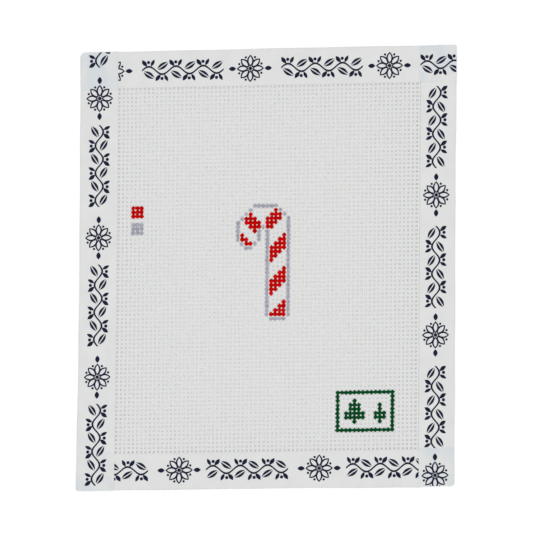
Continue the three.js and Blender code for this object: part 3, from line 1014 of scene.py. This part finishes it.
    def bake_places(self, along, from_fold, quads, printed):
        """The printed face lies in rows, and all that is hidden in a narrow band over them."""
        columns = len(from_fold)
        along_share = np.tile(np.repeat(along / self.length, columns), 2)[quads]
        across_share = (from_fold - from_fold.min()) / np.ptp(from_fold)
        across_share = np.tile(across_share, 2 * len(along))[quads]
        row = np.floor(along_share.mean(1) * BAKE_ROWS).clip(0, BAKE_ROWS - 1)[:, None]
        margin = BAKE_ROW_MARGIN
        u = margin + (along_share * BAKE_ROWS - row).clip(0, 1) * (1 - 2 * margin)
        v = (row + margin + across_share * (1 - 2 * margin)) / BAKE_ROWS * BAKE_OUTSIDE
        hidden = np.arange(len(quads))[:, None] >= printed
        hidden_v = BAKE_OUTSIDE + margin + across_share * (1 - BAKE_OUTSIDE - 2 * margin)
        return np.stack([np.where(hidden, along_share, u), np.where(hidden, hidden_v, v)], -1)


# ---- Tape finish --------------------------------------------------------------------------------
# The print is drawn in depths: how far inside the ink a place lies, in millimetres. The depth of
# several marks together is the largest of theirs.

PRINT_MIDDLE = 6.1  # from the fold
STROKE = 0.56
INK_EDGE = 0.06  # over which the ink ends
# A leaf is its centre, its tilt in degrees, its half length and its half width. A disc is its
# centre and its radius.
ROSETTE_PLACE = 8.6  # along the repeat
ROSETTE_PETALS = 8
PETAL = ((2.6, 0.0), 0.0, 1.75, 0.86)
EYE = ((0.0, 0.0), 0.6)
DOT = ((4.05, 0.0), 0.4)
SIDE_LEAF = ((6.05, 0.0), 0.0, 1.25, 0.75)
GARLAND_START = 17.6
GARLAND_LENGTH = 27.6
GARLAND_BENDS = 6
STEM_HEIGHT = 1.3
STEM_WIDTH = STROKE * 1.2
HANGING_LEAF = ((-0.1, -1.5), 33.0, 2.3, 1.0)
VEIN_WIDTH = 0.3
STANDING_LEAVES = (((1.5, 2.5), 50.0, 1.45, 0.66), ((-1.3, 2.55), 118.0, 1.3, 0.55))
BERRY = ((0.1, 2.75), 0.55)

PAPER_SHADES = (0.93, 1.06)  # of the darkest and the lightest places
OVERLAP_LEAST = 0.08
TAPE_SPECULAR = 0.07
TAPE_RELIEF = 0.02 * MM
TAPE_BUMP = 0.5
WEAVE_SHARE = 0.7  # of the relief
FIBRES_SHARE = 0.5

# Scale and detail of what is uneven: the paper, its tint where it is doubled, the ink and the
# relief.
PAPER_NOISE = (180.0, 3.0)
OVERLAP_NOISE = (112.0, 3.0)
WEAR_NOISE = (2600.0, 2.0)
FIBRES_NOISE = (3200.0, 3.0)

# A factor, and what is added to the product.
OVERLAP_CONTRAST = (7.0, -3.0)
WORN_INK = (0.2, 0.92)
TAPE_ROUGHNESS = (0.16, 0.46)


def moved(sums, x, y, centre, tilt_deg):
    """x and y seen from a centre, turned by a tilt."""
    cos, sin = math.cos(math.radians(tilt_deg)), math.sin(math.radians(tilt_deg))
    x, y = sums("SUBTRACT", x, centre[0]), sums("SUBTRACT", y, centre[1])
    turned_x = sums("MULTIPLY_ADD", x, cos, sums("MULTIPLY", y, sin))
    turned_y = sums("MULTIPLY_ADD", y, cos, sums("MULTIPLY", x, -sin))
    return turned_x, turned_y


def leaf(sums, x, y, centre, tilt_deg, half_length, half_width):
    """A leaf with two pointed ends."""
    x, y = moved(sums, x, y, centre, tilt_deg)
    share = sums("DIVIDE", x, half_length)
    bulge = sums("MULTIPLY_ADD", sums("MULTIPLY", share, share), -half_width, half_width)
    return sums("SUBTRACT", bulge, sums("ABSOLUTE", y))


def disc(sums, x, y, centre, radius):
    x, y = sums("SUBTRACT", x, centre[0]), sums("SUBTRACT", y, centre[1])
    squared = sums("MULTIPLY_ADD", x, x, sums("MULTIPLY", y, y))
    return sums("SUBTRACT", radius, sums("SQRT", squared))


def stroke(sums, depth, width):
    """A line along the edge of a mark."""
    return sums("SUBTRACT", width / 2, sums("ABSOLUTE", depth))


def most(sums, depths):
    total = depths[0]
    for depth in depths[1:]:
        total = sums("MAXIMUM", total, depth)
    return total


def rosette(sums, x, y):
    """Eight petals round a dot, with a dot between each two and a leaf on either side."""
    half_turn = math.pi / ROSETTE_PETALS
    angle = sums("ARCTAN2", y, x)
    from_axis = sums("PINGPONG", angle, half_turn)
    radius = sums("SQRT", sums("MULTIPLY_ADD", x, x, sums("MULTIPLY", y, y)))
    petal_x = sums("MULTIPLY", radius, sums("COSINE", from_axis))
    petal_y = sums("MULTIPLY", radius, sums("SINE", from_axis))
    petal = leaf(sums, petal_x, petal_y, *PETAL)
    from_gap = sums("SUBTRACT", half_turn, from_axis)
    gap_x = sums("MULTIPLY", radius, sums("COSINE", from_gap))
    gap_y = sums("MULTIPLY", radius, sums("SINE", from_gap))
    return most(sums, [
        stroke(sums, petal, STROKE),
        disc(sums, x, y, *EYE),
        disc(sums, gap_x, gap_y, *DOT),
        leaf(sums, sums("ABSOLUTE", x), y, *SIDE_LEAF),
    ])


def garland(sums, x, y):
    """A waved stem. In each bend hangs one leaf, and on each bend stand a leaf and a berry."""
    bend = GARLAND_LENGTH / GARLAND_BENDS
    number = sums("FLOOR", sums("DIVIDE", x, bend))
    bend_x = sums("MULTIPLY_ADD", number, -bend, sums("SUBTRACT", x, bend / 2))
    odd = sums("FLOORED_MODULO", number, 2.0)
    bend_y = sums("MULTIPLY", y, sums("MULTIPLY_ADD", odd, -2.0, 1.0))
    stem_wave = sums("COSINE", sums("MULTIPLY", bend_x, math.pi / bend))
    stem_y = sums("MULTIPLY", stem_wave, STEM_HEIGHT)
    _, across_vein = moved(sums, bend_x, bend_y, *HANGING_LEAF[:2])
    vein = stroke(sums, across_vein, VEIN_WIDTH)
    hanging = leaf(sums, bend_x, bend_y, *HANGING_LEAF)
    marks = most(sums, [
        stroke(sums, sums("SUBTRACT", bend_y, stem_y), STEM_WIDTH),
        sums("MINIMUM", hanging, sums("MULTIPLY", vein, -1.0)),
        *(leaf(sums, bend_x, bend_y, *standing) for standing in STANDING_LEAVES),
        disc(sums, bend_x, bend_y, *BERRY),
    ])
    # The garland ends at both ends of its length.
    inside = sums("SUBTRACT", GARLAND_LENGTH / 2,
                  sums("ABSOLUTE", sums("SUBTRACT", x, GARLAND_LENGTH / 2)))
    return sums("MINIMUM", marks, inside)


def printed_border_group(repeat):
    """A rosette and a garland in turn along a strip, once in front of the fold and once behind."""
    tree, given, result = node_group(
        "Printed border",
        [("Along", FLOAT, 0.0), ("From Fold", FLOAT, 0.0)],
        [("Ink", FLOAT)],
    )
    sums = Sums(tree)
    along = sums("FLOORED_MODULO", given["Along"], repeat / MM)
    up = sums("SUBTRACT", sums("ABSOLUTE", given["From Fold"]), PRINT_MIDDLE)
    marks = sums(
        "MAXIMUM",
        rosette(sums, sums("SUBTRACT", along, ROSETTE_PLACE), up),
        garland(sums, sums("SUBTRACT", along, GARLAND_START), up),
    )
    tree.links.new(ramp(tree, marks, -INK_EDGE / 2, INK_EDGE / 2), result["Ink"])
    return tree


def weave_under_tape(tree, sums, pitch):
    """The threads of the canvas, faintly raised in the tape, as a height from 0 to 1."""
    turned = tree.nodes.new("ShaderNodeMapping")
    turned.inputs["Rotation"].default_value[2] = -(TILT["top"] + TILT["bottom"]) / 2
    tree.links.new(tree.nodes.new("ShaderNodeTexCoord").outputs["Object"], turned.inputs["Vector"])
    x, y, _ = separated(tree, turned.outputs["Vector"])
    waves = [sums("COSINE", sums("MULTIPLY", axis, 2 * math.pi / pitch)) for axis in (x, y)]
    return sums("MULTIPLY_ADD", sums("MAXIMUM", *waves), 0.5, 0.5)


def tape_material(tape, pitch):
    material, tree, shader = new_material("printed paper tape", TAPE_SPECULAR)
    sums = Sums(tree)
    along, from_fold, _ = separated(tree, uv_map(tree, STRIP_MAP))
    border = printed_border_group(tape.print_repeat)
    ink = use_group(tree, border, Along=along, **{"From Fold": from_fold})["Ink"]
    place = tree.nodes.new("ShaderNodeTexCoord").outputs["Object"]
    cloud = noise(tree, place, *PAPER_NOISE)
    paper = mixed_colour(tree, cloud, *(shaded(tape.paper_colour, shade) for shade in PAPER_SHADES))
    patches = sums("MULTIPLY_ADD", noise(tree, place, *OVERLAP_NOISE), *OVERLAP_CONTRAST)
    patches = sums("MAXIMUM", sums("MINIMUM", patches, 1.0), OVERLAP_LEAST)
    doubled = sums("MULTIPLY", attribute(tree, LAYERS), patches)
    paper = mixed_colour(tree, doubled, paper, (*tape.overlap_colour, 1.0))
    worn = sums("MULTIPLY_ADD", noise(tree, place, *WEAR_NOISE), *WORN_INK)
    coverage = sums("MINIMUM", sums("MULTIPLY", ink, worn), 1.0)
    printed = mixed_colour(tree, coverage, paper, (*tape.ink_colour, 1.0))
    tree.links.new(printed, shader["Base Color"])
    tree.links.new(sums("MULTIPLY_ADD", cloud, *TAPE_ROUGHNESS), shader["Roughness"])
    fibres = sums("MULTIPLY", noise(tree, place, *FIBRES_NOISE), FIBRES_SHARE)
    height = sums("MULTIPLY_ADD", weave_under_tape(tree, sums, pitch), WEAVE_SHARE, fibres)
    tree.links.new(bumped(tree, height, TAPE_RELIEF, TAPE_BUMP), shader["Normal"])
    return material


# ---- Settings -----------------------------------------------------------------------------------

def length(name, description, default):
    return FloatProperty(name=name, description=description, default=default, min=0.0,
                         precision=5, unit="LENGTH", subtype="DISTANCE")


def colour(name, description, default):
    return FloatVectorProperty(name=name, description=description, default=default, size=3,
                               min=0.0, max=1.0, subtype="COLOR")


class CanvasSettings(bpy.types.PropertyGroup):
    mesh_per_inch: IntProperty(name="Mesh", description="Threads to the inch, both ways",
                               default=18, min=10, max=24)
    thread_width: length("Thread Width", "Width of a thread, which the crossings flatten", 0.8 * MM)
    thread_thickness: length("Thread Thickness", "Thickness of a thread", 0.27 * MM)
    unevenness: length("Unevenness", "How far threads lie from their even places", 0.009 * MM)
    sag_depth: length("Sag", "How far the open canvas hangs below the taped edge", 0.115 * MM)
    sag_run: length("Sag Run", "How far in from the tape the canvas comes to rest", 16 * MM)
    cotton: colour("Cotton", "Bare thread", (0.708, 0.717, 0.709))


class PaintSettings(bpy.types.PropertyGroup):
    reach: FloatProperty(name="Reach", default=0.61, min=0.3, max=0.68, subtype="FACTOR",
                         description="How far paint runs from a crossing, in thread spacings")
    swell: length("Swell", "How much paint widens a stitch", 0.2 * MM)
    red: colour("Red", "Paint of the stripes", (0.315, 0.0, 0.0))
    grey: colour("Grey", "Paint of the cane's outline", (0.272, 0.272, 0.317))
    green: colour("Green", "Paint of the frame and the firs", (0.0, 0.041, 0.0095))
    white: colour("White", "Paint between the stripes", (0.715, 0.715, 0.71))


class TapeSettings(bpy.types.PropertyGroup):
    width: length("Width", "Width of the tape before it is folded", INCH)
    thickness: length("Thickness", "Thickness of the tape", 0.16 * MM)
    print_repeat: length("Print Repeat", "Length after which the printed border repeats", 47 * MM)
    paper_colour: colour("Paper", "Bare tape", (0.69, 0.698, 0.691))
    overlap_colour: colour("Overlap", "Tape that lies over tape", (0.62, 0.655, 0.68))
    ink_colour: colour("Ink", "Printed border", (0.003, 0.007, 0.03))


class StageSettings(bpy.types.PropertyGroup):
    picture_width: length("Picture Width", "Width of table that the camera sees", 179.6 * MM)
    aim_x: FloatProperty(name="Aim X", description="How far right of the middle the camera stands",
                         default=0.1 * MM, unit="LENGTH", subtype="DISTANCE")
    aim_y: FloatProperty(name="Aim Y", description="How far above the middle the camera stands",
                         default=0.46 * MM, unit="LENGTH", subtype="DISTANCE")
    sky: FloatProperty(name="Surround", description="Strength of the even light from all round",
                       default=0.57, min=0.0)
    key: FloatProperty(name="Key Light", description="Power of the soft light straight above",
                       default=12.6, min=0.0, unit="POWER")
    key_size: length("Key Size", "Width of the soft light", 1.2)


# ---- Operators ----------------------------------------------------------------------------------

WHITE_LIGHT = (1.0, 1.0, 1.0, 1.0)
TABLE_SIZE = 12.0
TABLE_DROP = 0.03 * MM  # below the sheet, so that their faces don't meet
KEY_HEIGHT = 1.5
CAMERA_LENS = 200.0  # in millimetres, as lenses are named


def settings_of(context):
    scene = context.scene
    return scene.needlepoint_canvas, scene.needlepoint_paint, scene.needlepoint_tape


class NEEDLEPOINT_OT_weave_canvas(bpy.types.Operator):
    """Weave the canvas of threads and paint its stitches"""

    bl_idname = "needlepoint.weave_canvas"
    bl_label = "Weave and Paint Canvas"

    def execute(self, context):
        bpy.ops.object.select_all(action="DESELECT")
        canvas, paint, tape = settings_of(context)
        sheet = Sheet(canvas, tape)
        yarn, brushed = spun_yarn_group(), brushed_paint_group()
        materials = [cotton_material(yarn, canvas.cotton)]
        for name, factor in THINNED.items():
            full = getattr(paint, name)
            thin = shaded(full, factor)
            materials.append(
                paint_material(name + " paint", yarn, brushed, full, thin, canvas.cotton)
            )
        nodes = [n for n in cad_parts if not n.startswith("tape_")]
        for piece in weave_panels(sheet, canvas, paint.reach, paint.swell, materials):
            keep_piece(piece, nodes)
        return {"FINISHED"}


class NEEDLEPOINT_OT_bind_edges(bpy.types.Operator):
    """Fold the four strips of printed tape over the edges of the canvas"""

    bl_idname = "needlepoint.bind_edges"
    bl_label = "Bind Edges with Tape"

    def execute(self, context):
        bpy.ops.object.select_all(action="DESELECT")
        canvas, _, tape = settings_of(context)
        sheet = Sheet(canvas, tape)
        material = tape_material(tape, sheet.pitch)
        for side in STRIPS:
            strip = Strip(sheet, tape, side)
            piece = strip.made("binding_" + side, material)
            keep_piece(piece, ["tape_" + side])
        return {"FINISHED"}


class NEEDLEPOINT_OT_set_stage(bpy.types.Operator):
    """Lay the table, hang the lights and set the camera straight above"""

    bl_idname = "needlepoint.set_stage"
    bl_label = "Set Stage"

    def execute(self, context):
        bpy.ops.object.select_all(action="DESELECT")
        stage = context.scene.needlepoint_stage
        bpy.ops.mesh.primitive_plane_add(size=TABLE_SIZE, location=(0.0, 0.0, -TABLE_DROP))
        table = context.active_object
        table.name = "table"
        material, _, shader = new_material("pale table", 0.0)
        shader["Roughness"].default_value = 1.0
        shader["Base Color"].default_value = WHITE_LIGHT
        table.data.materials.append(material)

        world = bpy.data.worlds.new("surround")
        world.use_nodes = True
        sky = world.node_tree.nodes["Background"].inputs
        sky["Color"].default_value = WHITE_LIGHT
        sky["Strength"].default_value = stage.sky
        context.scene.world = world
        bpy.ops.object.light_add(type="AREA", location=(0.0, 0.0, KEY_HEIGHT))
        key = context.active_object
        key.name = "key_light"
        key.data.shape = "DISK"
        key.data.size = stage.key_size
        key.data.energy = stage.key

        bpy.ops.object.camera_add(rotation=(0.0, 0.0, 0.0))
        camera = context.active_object
        camera.name = "camera"
        camera.data.lens = CAMERA_LENS
        distance = stage.picture_width * camera.data.lens / camera.data.sensor_width
        camera.location = (stage.aim_x, stage.aim_y, distance)
        context.scene.camera = camera
        context.scene.view_settings.view_transform = "Standard"
        return {"FINISHED"}


class NEEDLEPOINT_PT_sheet(bpy.types.Panel):
    """Needlepoint canvas, its paint, tape and stage"""

    bl_idname = "NEEDLEPOINT_PT_sheet"
    bl_label = "Needlepoint Canvas"
    bl_space_type = "VIEW_3D"
    bl_region_type = "UI"
    bl_category = "Needlepoint"

    def draw(self, context):
        scene = context.scene
        parts = (
            (scene.needlepoint_canvas, None),
            (scene.needlepoint_paint, NEEDLEPOINT_OT_weave_canvas),
            (scene.needlepoint_tape, NEEDLEPOINT_OT_bind_edges),
            (scene.needlepoint_stage, NEEDLEPOINT_OT_set_stage),
        )
        for settings, operator in parts:
            box = self.layout.box()
            for name in settings.__annotations__:
                box.prop(settings, name)
            if operator:
                box.operator(operator.bl_idname)


CLASSES = (
    CanvasSettings,
    PaintSettings,
    TapeSettings,
    StageSettings,
    NEEDLEPOINT_OT_weave_canvas,
    NEEDLEPOINT_OT_bind_edges,
    NEEDLEPOINT_OT_set_stage,
    NEEDLEPOINT_PT_sheet,
)


def register():
    for cls in CLASSES:
        bpy.utils.register_class(cls)
    bpy.types.Scene.needlepoint_canvas = PointerProperty(type=CanvasSettings)
    bpy.types.Scene.needlepoint_paint = PointerProperty(type=PaintSettings)
    bpy.types.Scene.needlepoint_tape = PointerProperty(type=TapeSettings)
    bpy.types.Scene.needlepoint_stage = PointerProperty(type=StageSettings)


def unregister():
    del bpy.types.Scene.needlepoint_stage
    del bpy.types.Scene.needlepoint_tape
    del bpy.types.Scene.needlepoint_paint
    del bpy.types.Scene.needlepoint_canvas
    for cls in reversed(CLASSES):
        bpy.utils.unregister_class(cls)


def main():
    register()
    bpy.ops.needlepoint.weave_canvas()
    bpy.ops.needlepoint.bind_edges()
    bpy.ops.needlepoint.set_stage()


if __name__ == "__main__":
    main()
